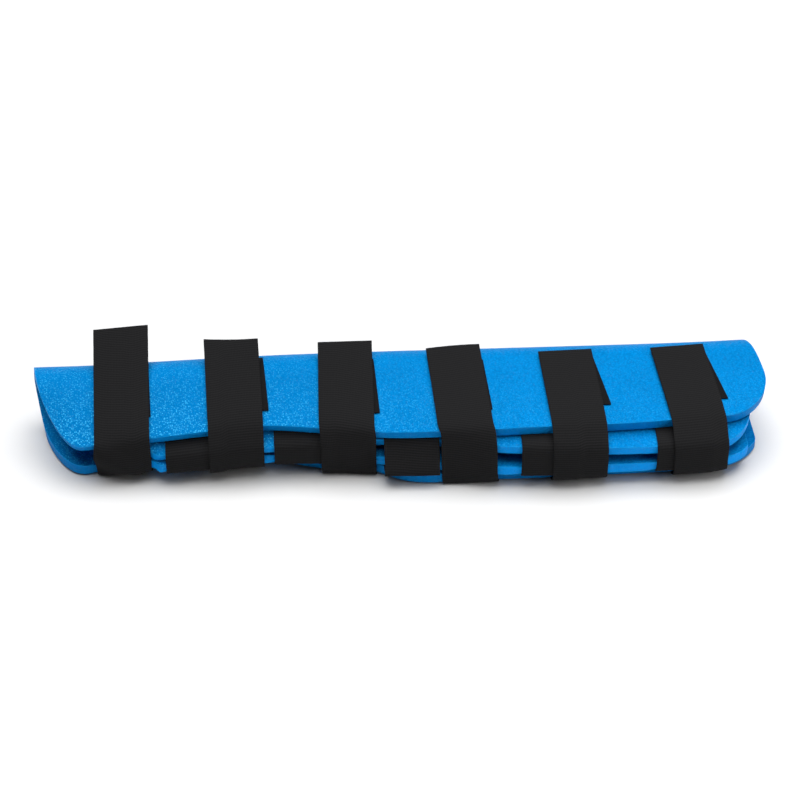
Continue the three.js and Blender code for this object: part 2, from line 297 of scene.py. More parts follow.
        # Over the grain go painted shade at the left end, painted glints, the rim's painted
        # highlight and the cut's colour.
        for share, over in (
            (ground.outputs[0], self.deep_cell_and_painted_shade),
            (shares["sparkle"], self.painted_glint),
            (shares["rim"], self.edge),
            (shares["cut"], self.cut),
        ):
            layers = {0: share, 6: colour, 7: linear(over)}
            colour = node("Mix", {"data_type": "RGBA"}, layers).outputs[2]
        lit = {0: colour, "Scale": shares["light"]}
        shaded = node("VectorMath", {"operation": "SCALE"}, lit)
        bump = {"Strength": 1.0, "Distance": self.relief * MM, "Height": cells}
        relief = node("Bump", {"invert": True}, bump).outputs["Normal"]
        ends = {0: facets.outputs["Color"], 1: (0.5, 0.5, 0.5)}
        turns = node("VectorMath", {"operation": "SUBTRACT"}, ends).outputs["Vector"]
        tilt = {0: turns, 1: (self.facet_tilt,) * 3, 2: relief}
        tilted = node("VectorMath", {"operation": "MULTIPLY_ADD"}, tilt).outputs["Vector"]
        faced = node("VectorMath", {"operation": "NORMALIZE"}, {0: tilted})
        finish = {
            "Base Color": shaded.outputs["Vector"],
            "Normal": relief,
            "Coat Normal": faced.outputs["Vector"],
            "Roughness": self.roughness,
            "IOR": self.ior,
            "Specular IOR Level": self.specular,
            "Coat Weight": self.gloss,
            "Coat Roughness": self.gloss_roughness,
        }
        set_inputs(tree, shader, finish)
        return material


@dataclass(frozen=True)
class LoopTapeFinish:
    """Woven nylon loop tape, ribbed across, with a napped face.

    To the eye it is a dull near-black with ribs across the strap, under a soft nap.
    """

    thread: str = "#272728"
    valley: str = "#131314"
    # Real ribs and threads are under a millimetre apart. They are drawn coarser, to show.
    rib_pitch: float = 2.3
    rib_bend: float = 0.6
    warp_pitch: float = 1.4
    warp_bend: float = 0.8
    band_detail: float = 1.0
    fuzz_size: float = 0.6
    fuzz_detail: float = 2.0
    # How much of the weave's height the threads along the strap take, and the nap over both.
    warp_share: float = 0.3
    fuzz_share: float = 0.35
    relief: float = 0.12
    relief_strength: float = 0.8
    roughness: float = 0.88
    specular: float = 0.05
    sheen: float = 0.01
    sheen_roughness: float = 0.5

    def material(self) -> Material:
        """Makes the strap's material.

        Returns:
            The material.
        """
        material, tree, shader = new_material("woven nylon loop tape")
        node = partial(add_node, tree)
        where = node("UVMap", {"uv_map": TAPE_UV}).outputs["UV"]
        heights = []
        for direction, pitch, bend in (
            ("Y", self.rib_pitch, self.rib_bend),
            ("X", self.warp_pitch, self.warp_bend),
        ):
            scale = {"Vector": where, "Scale": WAVE_PERIOD / (pitch * MM)}
            scale |= {"Distortion": bend, "Detail": self.band_detail}
            bands = node("TexWave", {"bands_direction": direction}, scale)
            heights.append(bands.outputs["Fac"])
        scale = {"Vector": where, "Scale": 1 / (self.fuzz_size * MM), "Detail": self.fuzz_detail}
        fuzz = node("TexNoise", inputs=scale)
        weave, warp = heights
        for share, over in ((self.warp_share, warp), (self.fuzz_share, fuzz.outputs["Fac"])):
            layers = {0: share, 2: weave, 3: over}
            weave = node("Mix", {"data_type": "FLOAT"}, layers).outputs[0]
        layers = {0: weave, 6: linear(self.valley), 7: linear(self.thread)}
        colour = node("Mix", {"data_type": "RGBA"}, layers)
        bump = {"Strength": self.relief_strength, "Distance": self.relief * MM, "Height": weave}
        relief = node("Bump", inputs=bump)
        finish = {
            "Base Color": colour.outputs[2],
            "Normal": relief.outputs["Normal"],
            "Roughness": self.roughness,
            "Specular IOR Level": self.specular,
            "Sheen Weight": self.sheen,
            "Sheen Roughness": self.sheen_roughness,
        }
        set_inputs(tree, shader, finish)
        return material


@dataclass(frozen=True)
class HookTapeFinish:
    """Moulded nylon hook tape, a field of stiff hooks in rows.

    To the eye it is a harder, slightly shinier black than the strap, with dots in rows.
    """

    hook: str = "#1B1B1C"
    ground: str = "#0C0C0D"
    hook_pitch: float = 1.4
    scatter: float = 0.15
    relief: float = 0.35
    roughness: float = 0.55
    specular: float = 0.1

    def material(self) -> Material:
        """Makes the hook pad's material.

        Returns:
            The material.
        """
        material, tree, shader = new_material("moulded nylon hook tape")
        node = partial(add_node, tree)
        where = node("UVMap", {"uv_map": TAPE_UV}).outputs["UV"]
        scale = {"Vector": where, "Scale": 1 / (self.hook_pitch * MM), "Randomness": self.scatter}
        hooks = node("TexVoronoi", {"feature": "F1"}, scale).outputs["Distance"]
        layers = {0: hooks, 6: linear(self.hook), 7: linear(self.ground)}
        colour = node("Mix", {"data_type": "RGBA"}, layers)
        bump = {"Strength": 1.0, "Distance": self.relief * MM, "Height": hooks}
        relief = node("Bump", {"invert": True}, bump)
        finish = {
            "Base Color": colour.outputs[2],
            "Normal": relief.outputs["Normal"],
            "Roughness": self.roughness,
            "Specular IOR Level": self.specular,
        }
        set_inputs(tree, shader, finish)
        return material


@dataclass(frozen=True)
class Profile:
    """A size that changes smoothly along the splint, given at a few stations."""

    stations: tuple[float, ...]
    sizes: tuple[float, ...]

    def at(self, x: Array) -> Array:
        """Gives the size along the splint, by a cubic through the stations.

        Args:
            x: Places along X.

        Returns:
            The size at each place.
        """
        stations = np.array(self.stations)
        sizes = np.array(self.sizes)
        index = np.arange(len(stations))
        before = np.maximum(index - 1, 0)
        after = np.minimum(index + 1, len(stations) - 1)
        slopes = (sizes[after] - sizes[before]) / (stations[after] - stations[before])
        row = np.clip(np.searchsorted(stations, x, side="right") - 1, 0, len(stations) - 2)
        span = stations[row + 1] - stations[row]
        share = np.clip((x - stations[row]) / span, 0, 1)
        leave = share * (1 - share) ** 2 * span * slopes[row]
        arrive = share * share * (1 - share) * span * slopes[row + 1]
        return sizes[row] + (sizes[row + 1] - sizes[row]) * smoothstep(share) + leave - arrive


@dataclass(frozen=True)
class Corner:
    """A rounded corner of a leaf: its reach along X, and the share of the leaf left at the end."""

    reach: float
    keep: float

    @property
    def split(self) -> float:
        """Gives the share of the leaf where the outline passes from the end to the front edge."""
        return self.keep + (1 - self.keep) * CORNER_SPLIT

    def share(self, from_end: Array) -> Array:
        """Gives the share of the leaf's length that is left at a distance from the end."""
        short = 1 - np.clip(from_end / self.reach, 0, 1)
        return self.keep + (1 - self.keep) * np.sqrt(1 - short**2)

    def cut(self, share: Array) -> Array:
        """Gives how far from the end the outline is, at a share of the leaf's length."""
        rise = np.clip((share - self.keep) / (1 - self.keep), 0, 1)
        return self.reach * (1 - np.sqrt(1 - rise**2))


FOLD_STATIONS = (-END, -284.0, -226.0, -126.0, -24.0, 97.0, 190.0, 273.0, END)
FOLD_RADIUS = Profile(FOLD_STATIONS, (38.0, 37.6, 38.4, 39.6, 39.2, 37.8, 36.8, 36.2, 36.6))
# How far the upper leaf slopes down to the front, in degrees.
LEAF_SLOPE = Profile(FOLD_STATIONS, (34.0, 32.0, 26.0, 25.0, 19.5, 10.5, 10.5, 10.5, 10.5))


def facing(angle: Array) -> Array:
    """Gives the direction in the YZ plane at an angle, counted upward from the back."""
    return np.stack([np.cos(angle), np.sin(angle)], -1)


@dataclass
class Section:
    """Sections of a folded sheet at places along X: its fold, its slope and its leaves' lengths."""

    centre: Array
    radius: Array
    slope: Array
    upper: Array
    lower: Array

    @property
    def down(self) -> Array:
        """Gives the way down the upper leaf to the front."""
        return -facing(self.slope)

    def on_fold(self, angle: Array, height: Array | float) -> Array:
        """Gives points in the YZ plane at an angle round the fold, above the outer face."""
        return self.centre + facing(angle) * (self.radius + height)[..., None]

    def on_upper(self, distance: Array | float, height: Array | float) -> Array:
        """Gives points over the upper leaf's plane, at a distance from the fold to the front."""
        start = self.on_fold(np.pi / 2 + self.slope, height)
        return start + self.down * np.broadcast_to(distance, self.slope.shape)[..., None]

    def on_upper_face(self, distance: Array, height: Array | float) -> Array:
        """Gives points over the upper leaf, or round the fold at distances under nought."""
        turned = np.pi / 2 + self.slope + np.minimum(distance, 0) / self.radius
        return self.on_fold(turned, height) + self.down * np.maximum(distance, 0)[..., None]

    def on_lower(self, distance: Array | float, height: Array | float) -> Array:
        """Gives points under the lower leaf, at a distance from the fold to the front."""
        start = self.on_fold(np.full_like(self.slope, -np.pi / 2), height)
        return start + FORWARD * np.broadcast_to(distance, self.slope.shape)[..., None]

    def at(self, turn: Array, height: Array, leaf_scale: Array) -> Array:
        """Gives points at places across the sheet.

        Args:
            turn: -2 at the lower front edge, -1 and 1 at the fold's ends, 2 at the upper edge.
            height: Above the outer face.
            leaf_scale: Share of the leaf's length that the front edge is at.

        Returns:
            Points in the YZ plane.
        """
        round_fold = (np.clip(turn, -1, 1) + 1) / 2
        points = self.on_fold(-np.pi / 2 + round_fold * (np.pi + self.slope), height)
        upper = np.clip(turn - 1, 0, 1) * self.upper * leaf_scale
        lower = np.clip(-1 - turn, 0, 1) * self.lower * leaf_scale
        points[..., 0] -= upper * np.cos(self.slope) + lower
        points[..., 1] -= upper * np.sin(self.slope)
        return points


def slab(columns: int, rows: int) -> BMesh:
    """Makes a slab one unit thick, from -0.5 to 0.5 along X and Y.

    Args:
        columns: Faces along X.
        rows: Faces along Y.

    Returns:
        The slab.
    """
    mesh = bmesh.new()
    bmesh.ops.create_grid(mesh, x_segments=columns, y_segments=rows, size=0.5)
    bmesh.ops.solidify(mesh, geom=mesh.faces[:], thickness=1.0)
    bmesh.ops.recalc_face_normals(mesh, faces=mesh.faces[:])
    return mesh


def round_edges(mesh: BMesh, radius: float) -> dict[str, list]:
    """Rounds off a shape's sharp edges.

    Args:
        mesh: The shape.
        radius: How far from an edge its rounding begins.

    Returns:
        The new faces, edges and vertices.
    """
    mesh.normal_update()
    return bmesh.ops.bevel(
        mesh,
        geom=[edge for edge in mesh.edges if edge.calc_face_angle(0) > SHARP],
        offset=radius * MM,
        segments=2,
        profile=0.5,
        affect="EDGES",
        material=-1,
        clamp_overlap=True,
    )


def finished_piece(name: str, mesh: BMesh, material: Material) -> Object:
    """Turns a bmesh into a smooth-shaded object with its material.

    Args:
        name: The piece's name.
        mesh: The shape, which is freed.
        material: The finish.

    Returns:
        The object, linked into the scene.
    """
    data = bpy.data.meshes.new(name)
    mesh.to_mesh(data)
    mesh.free()
    data.materials.append(material)
    data.shade_smooth()
    piece = bpy.data.objects.new(name, data)
    bpy.context.scene.collection.objects.link(piece)
    return piece


def route_of(*parts: tuple[Array, Array]) -> Array:
    """Joins a route's parts, each given by its places along X and its points in the YZ plane."""
    return np.concatenate([np.column_stack(part) for part in parts])


@dataclass(kw_only=True)
class Tape:
    """A flat tape along a route: the part that straps and hook pads share."""

    number: int
    # Braces in these names stand for the number.
    name: str
    node: str
    slot: str
    hold: Hold
    under: tuple[str, ...]
    rests_on: list[str] = field(init=False)
    # Columns across the tape, and a row's length along it.
    width_steps: int = 20
    step: float = 2.5
    # How often the bends are eased, and the rounding of the tape's edges.
    ease_steps: int = 5
    edge_round: float = 0.4
    points: Array = field(init=False, repr=False)
    normals: Array = field(init=False, repr=False)
    lengths: Array = field(init=False, repr=False)

    def __post_init__(self) -> None:
        """Puts the number into the names and draws the route."""
        self.name = self.name.format(self.number)
        self.node = self.node.format(self.number)
        self.rests_on = [name.format(self.number) for name in self.under]
        self.route()

    def route(self) -> None:
        """Draws the tape's route, which each kind of tape does its own way."""
        raise NotImplementedError

    def lay_out(self, columns: list[Array]) -> None:
        """Samples the tape's inner face evenly along its length and eases its bends.

        Args:
            columns: For each place across the tape, the points of its route.
        """
        steps = [np.linalg.norm(np.diff(column, axis=0), axis=1) for column in columns]
        runs = [np.concatenate([[0], np.cumsum(step)]) for step in steps]
        rows = round(np.mean([run[-1] for run in runs]) / self.step)
        share = np.linspace(0, 1, rows + 1)
        even = [
            np.stack([np.interp(share * run[-1], run, axis) for axis in column.T], -1)
            for run, column in zip(runs, columns)
        ]
        grid = np.stack(even, 1)
        for _ in range(self.ease_steps):
            grid[1:-1] = (grid[:-2] + 2 * grid[1:-1] + grid[2:]) / 4
        self.settle(grid)

    def settle(self, grid: Array) -> None:
        """Keeps the tape's inner face, with its normals and its lengths along the tape.

        Args:
            grid: Points, in rows along the tape.
        """
        along = np.gradient(grid, axis=0)
        across = np.gradient(grid, axis=1)
        normals = np.cross(across, along)
        self.points = grid
        self.normals = normals / np.linalg.norm(normals, axis=2, keepdims=True)
        steps = np.linalg.norm(np.diff(grid, axis=0), axis=2)
        self.lengths = np.concatenate([np.zeros((1, grid.shape[1])), np.cumsum(steps, axis=0)])

    def build(self, material: Material) -> None:
        """Makes the tape's mesh and dresses it.

        Args:
            material: The tape's finish.
        """
        rows, columns = self.points.shape[0] - 1, self.points.shape[1] - 1
        mesh = slab(columns, rows)
        layer = mesh.loops.layers.uv.new(TAPE_UV)
        lowest = min(vert.co.z for vert in mesh.verts)
        for vert in mesh.verts:
            row = round((vert.co.y + 0.5) * rows)
            column = round((vert.co.x + 0.5) * columns)
            height = (vert.co.z - lowest) * TAPE_THICKNESS
            across = column / columns * TAPE_WIDTH
            for loop in vert.link_loops:
                loop[layer].uv = (across * MM, self.lengths[row, column] * MM)
            place = self.points[row, column] + self.normals[row, column] * height
            vert.co = Vector(place * MM)
        round_edges(mesh, self.edge_round)
        piece = finished_piece(self.name, mesh, material)
        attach(piece, BODY)
        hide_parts(self.node)


@dataclass
class FoamSheet:
    """A sheet of foam folded once lengthwise, with contoured front edges and shaped ends."""

    name: str
    node: str
    # The upper leaf's length from the fold, and the lower front edge's distance from the back.
    upper: Profile
    lower: Profile
    upper_corner: Corner
    lower_corner: Corner
    # How deep inside the outer sheet's face this sheet's face lies.
    depth: float
    # How far the left end is swept back at the front, and how much of the sheet follows it.
    sweep_depth: float
    sweep_reach: float
    # How far the right end is cut back at the fold and on the lower leaf.
    fold_cut: float
    lower_cut: float
    # The grid: its columns' width, its rows on a leaf and round the fold, gathered at the edges.
    step: float = 4.6
    leaf_rows: int = 15
    fold_rows: int = 24
    edge_gather: float = 0.12
    # Where across the sheet the sweep begins, and the superellipse's powers on the leaves.
    sweep_from: float = 0.05
    upper_sweep: float = 1.6
    lower_sweep: float = 1.7
    # Where across the sheet the fold's cut ends, and how much of the right end follows the cuts.
    cut_to: float = 1.6
    cut_reach: float = 60.0
    edge_round: float = 1.3

    @property
    def first(self) -> float:
        """Gives the sheet's left end at the fold."""
        return self.upper.stations[0]

    @property
    def last(self) -> float:
        """Gives the sheet's right end."""
        return self.upper.stations[-1]

    def section(self, x: Array) -> Section:
        """Gives the sheet's sections, with the leaves at full length.

        Args:
            x: Places along X.

        Returns:
            The sections there.
        """
        radius = FOLD_RADIUS.at(x)
        return Section(
            centre=np.stack([BACK_PLANE - radius, SHEET_BOTTOM + radius], -1),
            radius=radius - self.depth,
            slope=np.radians(LEAF_SLOPE.at(x)),
            upper=self.upper.at(x),
            lower=self.lower.at(x) - radius,
        )

    def sweep_curve(self, turn: Array) -> Array:
        """Gives the share of the sweep's depth that the left end reaches, by a superellipse.

        Args:
            turn: Places across the sheet.

        Returns:
            The share at each place.
        """
        power = np.where(turn > 0, self.upper_sweep, self.lower_sweep)
        share = np.clip((np.abs(turn) - self.sweep_from) / (2 - self.sweep_from), 0, 1)
        return (1 - share**power) ** (1 / power)

    def right_cut(self, turn: Array) -> Array:
        """Gives how far behind the last station the right end lies.

        Args:
            turn: Places across the sheet.

        Returns:
            Lengths along X.
        """
        away = np.abs(turn)
        upper, lower = (
            corner.cut(corner.split * (away - 1))
            for corner in (self.upper_corner, self.lower_corner)
        )
        corner = np.where(away > 1, np.where(turn > 0, upper, lower), 0)
        fold = self.fold_cut * np.cos(np.pi / 2 * np.minimum(away / self.cut_to, 1)) ** 2
        under = self.lower_cut * np.clip(-turn, 0, 1)
        return np.maximum(np.maximum(fold, under), corner)

    def end_shift(self, station: Array, turn: Array) -> Array:
        """Gives how far places across the sheet are moved along X by the shape of its ends.

        Args:
            station: Places along the sheet.
            turn: Places across it.

        Returns:
            Moves along X.
        """
        swept = self.sweep_curve(turn)
        sweep_ease = np.clip(1 - (station - self.first) / self.sweep_reach, 0, 1)
        cut_ease = np.clip(1 - (self.last - station) / self.cut_reach, 0, 1) ** 2
        return self.sweep_depth * (1 - swept) * sweep_ease - self.right_cut(turn) * cut_ease

    def fold_up(self, flat: Array) -> Array:
        """Folds points of the flat sheet.

        Args:
            flat: For each point, its share along the sheet, its place across and its height.

        Returns:
            Points in millimetres.
        """
        station = self.first + flat[:, 0] * (self.last - self.first)
        turn, height = flat[:, 1], flat[:, 2]
        x = station + self.end_shift(station, turn)
        from_end = self.last - station - self.end_shift(station, np.sign(turn) * 2)
        upper, lower = self.upper_corner.share(from_end), self.lower_corner.share(from_end)
        points = self.section(x).at(turn, height, np.where(turn > 0, upper, lower))
        return np.column_stack([x, points])

    def front_corners(self, x: Array) -> Array:
        """Gives the corners of the front edges, right of the swept end.

        Args:
            x: Places along X.

        Returns:
            Four points in the YZ plane at each place: the lower leaf's two, then the upper's.
        """
        section = self.section(x)
        upper = section.upper * self.upper_corner.share(self.last - x)
        lower = section.lower * self.lower_corner.share(self.last - x)
        heights = (0.0, -FOAM_THICKNESS)
        below = [section.on_lower(lower, height) for height in heights]
        above = [section.on_upper(upper, height) for height in heights]
        return np.stack(below + above, 1)

    def turn_of(self, row: Array) -> Array:
        """Gives the places across the sheet of rows of its grid.

        Args:
            row: Rows, counted from the upper front edge.

        Returns:
            Places from 2 to -2.
        """
        fold_end = self.leaf_rows + self.fold_rows
        rows = [0, self.leaf_rows, fold_end, fold_end + self.leaf_rows]
        turn = np.interp(row, rows, [2, 1, -1, -2])
        on_leaf = np.clip(np.abs(turn) - 1, 0, 1)
        return turn + np.sign(turn) * self.edge_gather * np.sin(np.pi * on_leaf)

    def build(self, tapes: list[Tape], material: Material) -> None:
        """Makes the sheet's mesh, pressed in under its tapes, and dresses it.

        Args:
            tapes: The tapes that press on the sheet's edges.
            material: The foam's finish.
        """
        columns = round((self.last - self.first) / self.step)
        rows = 2 * self.leaf_rows + self.fold_rows
        mesh = slab(columns, rows)
        cut = mesh.verts.layers.float.new(CUT_LAYER)
        flat = np.array([vert.co for vert in mesh.verts])
        flat[:, :2] += 0.5
        flat[:, 1] = self.turn_of(flat[:, 1] * rows)
        flat[:, 2] = (flat[:, 2] - flat[:, 2].max()) * FOAM_THICKNESS
        for vert, point in zip(mesh.verts, self.fold_up(flat)):
            vert.co = Vector(point * MM)
        # Rounded rims are marked for a painted highlight, and cut faces for the cut's colour.
        bevelled = round_edges(mesh, self.edge_round)
        rounded, rims = set(bevelled["faces"]), set(bevelled["verts"])
        for vert in bevelled["verts"]:
            beside = [face for face in vert.link_faces if face not in rounded]
            on_cut = all(corner in rims for face in beside for corner in face.verts)
            vert[cut] = (CUT_MARK if on_cut else 0.0) if beside else RIM_MARK
        self.press(mesh, tapes)
        piece = finished_piece(self.name, mesh, material)
        smooth = piece.modifiers.new("smooth", "SUBSURF")
        smooth.levels = smooth.render_levels = 1
        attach(piece, BODY)
        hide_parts(self.node)
        LOG.info("%s: foam, %d faces before smoothing", self.name, len(piece.data.polygons))

    @staticmethod
    def press(
        mesh: BMesh,
        tapes: list[Tape],
        gap: float = 0.45,
        fade: float = 6.0,
        reach: float = 18.0,
    ) -> None:
        """Presses the foam in where a tape is drawn over it, with a soft edge beside the tape.

        Args:
            mesh: The folded sheet.
            tapes: The tapes drawn round it.
            gap: Room left under a tape.
            fade: How far beside a tape the foam is drawn in.
            reach: How far from a tape's face foam is still pressed.
        """
        verts = list(mesh.verts)
        along = np.array([vert.co.x for vert in verts]) / MM
        for tape in tapes:
            points, normals = tape.points.reshape(-1, 3), tape.normals.reshape(-1, 3)
            tree = KDTree(len(points))
            for index, point in enumerate(points):
                tree.insert(point, index)
            tree.balance()
            left, right = points[:, 0].min() - fade, points[:, 0].max() + fade
            for number in np.flatnonzero((along > left) & (along < right)):
                place = np.array(verts[number].co) / MM
                _, index, distance = tree.find(place)
                above = float((place - points[index]) @ normals[index])
                beside = math.sqrt(max(distance**2 - above**2, 0))
                if above + gap > 0 and distance < reach:
                    weight = float(smoothstep(np.array(1 - (beside - tape.step) / fade)))
                    verts[number].co -= Vector(normals[index] * (above + gap) * weight * MM)


OUTER_STATIONS = (
    -END, -284.0, -226.0, -176.0, -126.0, -75.0, -24.0, 4.0, 36.0, 97.0, 190.0, 273.0, END
)
INNER_STATIONS = (-252.0, -221.0, -121.0, -21.0, 20.0, 96.0, 196.0, 260.0, 321.0)

OUTER_SHEET = FoamSheet(
    name="outer_foam_sheet",
    node="outer_shell",
    upper=Profile(OUTER_STATIONS, (52.5, 53, 54, 51, 48.5, 56, 66.5, 71, 75, 82, 81, 77.5, 74.5)),
    lower=Profile(
        OUTER_STATIONS, (91, 91, 89, 84, 83, 97.5, 108, 122, 125.5, 125.2, 125.4, 124, 122)
    ),
    upper_corner=Corner(44.0, 0.36),
    lower_corner=Corner(56.0, 0.34),
    depth=0.0,
    sweep_depth=44.0,
    sweep_reach=130.0,
    fold_cut=13.0,
    lower_cut=8.0,
)
INNER_SHEET = FoamSheet(
    name="inner_foam_sheet",
    node="inner_shell",
    upper=Profile(INNER_STATIONS, (65, 66.5, 65, 67, 72.5, 93, 99, 98.5, 96)),
    lower=Profile(INNER_STATIONS, (108, 110.5, 103, 112, 121, 135, 138, 137, 134)),
    upper_corner=Corner(38.0, 0.5),
    lower_corner=Corner(36.0, 0.7),
    depth=FOAM_THICKNESS + NEST_ROOM,
    sweep_depth=26.0,
    sweep_reach=90.0,
    fold_cut=5.0,
    lower_cut=4.0,
)


@dataclass(frozen=True)
class Crease:
    """A crease in a strap's front: a ridge along a line in the XZ plane."""

    start: tuple[float, float]
    stop: tuple[float, float]
    height: float = 3.4
    # How wide the ridge is below and above the line, and how soon it fades past the line's stop.
    below: float = 15.0
    above: float = 20.0
    fade: float = 14.0
    # The height where the ridge begins to rise from the strap's foot, and over how much.
    foot: float = 2.6
    foot_fade: float = 13.0
    # How far a face has to be turned to the front, for the ridge to begin and to be full.
    front_from: float = 0.4
    front_full: float = 0.8

    def lift(self, points: Array, normals: Array) -> Array:
        """Gives how far points of the strap's front stand out.

        Args:
            points: Points on the strap.
            normals: The strap's normals there.

        Returns:
            Heights along the normals.
        """
        run = np.subtract(self.stop, self.start)
        upward = np.array([-run[1], run[0]]) / np.linalg.norm(run)
        offset = (points[..., [0, 2]] - self.start) @ upward
        ridge = np.clip(1 - np.abs(offset) / np.where(offset < 0, self.below, self.above), 0, 1)
        turned = (-normals[..., 1] - self.front_from) / (self.front_full - self.front_from)
        risen = smoothstep((points[..., 2] - self.foot) / self.foot_fade)
        kept = 1 - smoothstep((points[..., 0] - self.stop[0]) / self.fade)
        return self.height * ridge * np.clip(turned, 0, 1) * risen * kept


@dataclass(frozen=True)
class StrapPlace:
    """Where an outer strap and its hook pad lie, and how the strap differs from a plain band."""

    # The pad's middle along X at its lower and upper ends, and its distance from the front edge.
    pad_low: float
    pad_high: float
    tuck: float
    # The strap's middle along X under the lower leaf, at the upper front edge and at its free end.
    low: float
    front: float
    end: float
    # How far the free end stands past the fold's start, and how much farther on its right side.
    free: float
    skew: float
    # How far the free end's sides stand up from its middle.
    cup: float = 0.0
    # How far the right side is drawn in, and how far the left side stands off the lower leaf.
    draw: float = 0.0
    stand: float = 0.0
    crease: Crease | None = None


@dataclass(frozen=True)
class InnerPlace:
    """Where an inner strap lies, and how far its sides hang forward of the lower leaf."""

    middle: float
    slack_left: float = 0.0
    slack_right: float = 0.0


LEFT_CREASE = Crease(start=(-279.0, 32.0), stop=(-244.0, 14.0))
STRAP_PLACES = (
    StrapPlace(-253, -254.5, 21, -254.5, -254.5, -254, 59.5, 1, draw=8.0, crease=LEFT_CREASE),
    StrapPlace(-146, -149.5, 15, -152, -151.5, -153.2, 40.5, -2, cup=1.6),
    StrapPlace(-45.5, -48, 15, -48.5, -51.5, -48.5, 31.5, -1.6, stand=4.5),
    StrapPlace(56.5, 53, 19.5, 62.5, 55.7, 51, 19.0, 1.5, cup=-1.0),
    StrapPlace(165, 155.3, 23, 159.6, 158.1, 154.8, 7.5, 1.5),
    StrapPlace(273, 260.5, 20.5, 271, 267.5, 259.7, 8.5, 2.5),
)
INNER_PLACES = (
    InnerPlace(-191.0),
    InnerPlace(-92.5),
    InnerPlace(7.0, slack_left=16.0, slack_right=7.0),
    InnerPlace(130.5),
    InnerPlace(253.5),
)
# Steps of a strap's turn round the front, and of a pad's way up the leaf.
FRONT_TURNS = 72
PAD_STEPS = 40
# Where the inner sheet's left end begins to hold a strap out.
TENT_FROM = -246.0
# Over how much beside an inner strap an outer one comes down to the foam.
INNER_STRAP_FADE = 8.0


def taut(corners: Array, clear: Array, angle: Array) -> Array:
    """Gives the points of a band drawn taut round some corners, facing some angles.

    Args:
        corners: Points in the YZ plane, for each angle.
        clear: The clearance that each corner keeps, for each angle.
        angle: The angles that the band faces.

    Returns:
        One point of the band for each angle.
    """
    way = facing(angle)
    reach = np.einsum("nkc,nc->nk", corners, way) + clear
    best = np.argmax(reach, 1)
    row = np.arange(len(angle))
    return corners[row, best] + way * clear[row, best][:, None]


def front_angle(x: Array, share: Array) -> Array:
    """Gives the angle that a band faces up the front, from straight down to square to the leaf."""
    return -np.pi / 2 - share * (np.pi - OUTER_SHEET.section(x).slope)


def over_inner(x: Array) -> Array:
    """Gives 1 over a strap on the inner sheet, easing to 0 beside it."""
    off = np.min([np.abs(x - place.middle) for place in INNER_PLACES], 0) - TAPE_WIDTH / 2
    return 1 - smoothstep(off / INNER_STRAP_FADE)


@dataclass(kw_only=True)
class HookPad(Tape):
    """A hook pad on the upper leaf, under the end of an outer strap."""

    name: str = "hook_tape_{}"
    node: str = "hook_pad_{}"
    slot: str = "hook_pad"
    hold: Hold = Hold.LAID
    under: tuple[str, ...] = (OUTER_SHEET.name,)
    place: StrapPlace
    length: float = 60.0

    def route(self) -> None:
        """Lays the pad from near the front edge up the leaf and over the start of the fold."""
        low, high = self.place.pad_low, self.place.pad_high
        start = float(OUTER_SHEET.section(np.array([low])).upper[0]) - self.place.tuck
        share = np.linspace(0, 1, PAD_STEPS + 1)
        columns = []
        for across in np.linspace(-0.5, 0.5, self.width_steps + 1):
            x = low + (high - low) * share + across * TAPE_WIDTH
            points = OUTER_SHEET.section(x).on_upper_face(start - share * self.length, PAD_LAY)
            columns.append(route_of((x, points)))
        self.lay_out(columns)


